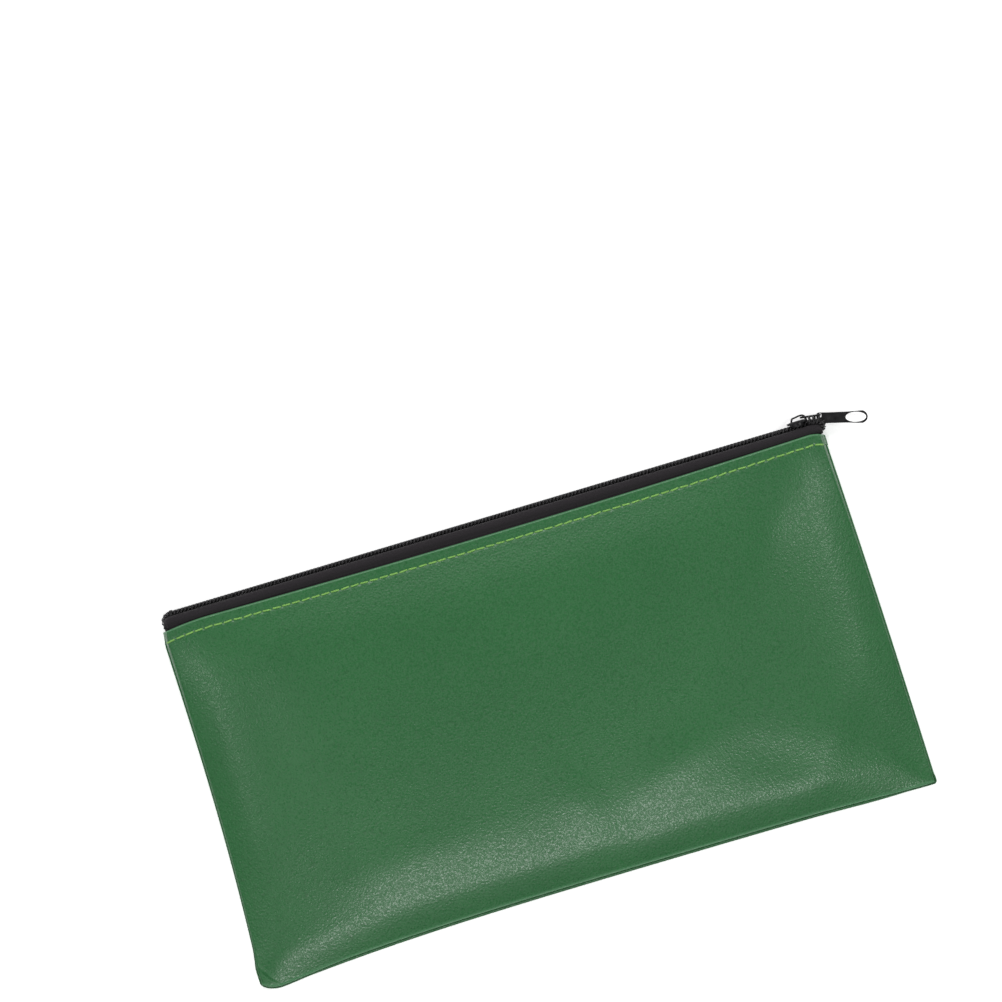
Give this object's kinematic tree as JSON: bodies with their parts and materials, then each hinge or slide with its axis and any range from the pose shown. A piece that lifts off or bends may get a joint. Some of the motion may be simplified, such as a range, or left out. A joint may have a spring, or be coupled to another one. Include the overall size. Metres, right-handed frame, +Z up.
{
  "type": "cash deposit bag",
  "caption": "Flat zip-top leatherette pouch for carrying banknotes, coin and deposit slips, with a sliding zip and a linked pull tab.",
  "frame": {"origin": "centre of the back panel's flat resting face", "axes": "+X along the zip towards its closed end, +Y across the bag towards the zip, +Z up through the bag's thickness"},
  "size_m": [0.2948, 0.1585, 0.0155],
  "materials": {
    "leatherette": "green grained leatherette, satin",
    "zip_tape": "black woven polyester tape",
    "zip_coil": "black nylon monofilament",
    "zip_thread": "black polyester thread",
    "black_metal": "black enamel",
    "stitch_thread": "lime green sewing thread",
    "seam_thread": "green sewing thread"
  },
  "bodies": {
    "bag": {"front_panel": "leatherette", "back_panel": "leatherette", "front_tape": "zip_tape", "back_tape": "zip_tape", "front_coil": "zip_coil", "back_coil": "zip_coil", "front_coil_cord": "zip_thread", "back_coil_cord": "zip_thread", "front_coil_thread": "zip_thread", "back_coil_thread": "zip_thread", "front_top_stop": "black_metal", "back_top_stop": "black_metal", "bottom_stop": "black_metal", "front_topstitch": "stitch_thread", "back_topstitch": "stitch_thread", "left_seam_stitch": "seam_thread", "right_seam_stitch": "seam_thread", "bottom_seam_stitch": "seam_thread"},
    "slider": {"slider_body": "black_metal", "slider_bridge": "black_metal"},
    "link": {"pull_link": "black_metal"},
    "tab": {"pull_tab": "black_metal"}
  },
  "joints": [
    {"name": "slider_travel", "type": "slide", "parent": "bag", "child": "slider", "axis": [1, 0, 0], "range_m": [-0.25, 0]},
    {"name": "link_swing", "type": "hinge", "parent": "slider", "child": "link", "pos_m": [0.1289, 0.07745, 0.0047], "axis": [0, 0, 1], "range_deg": [0, 160]},
    {"name": "tab_swing", "type": "hinge", "parent": "link", "child": "tab", "pos_m": [0.13662, 0.07636, 0.0047], "axis": [0, 0, 1], "range_deg": [-1, 35]}
  ]
}
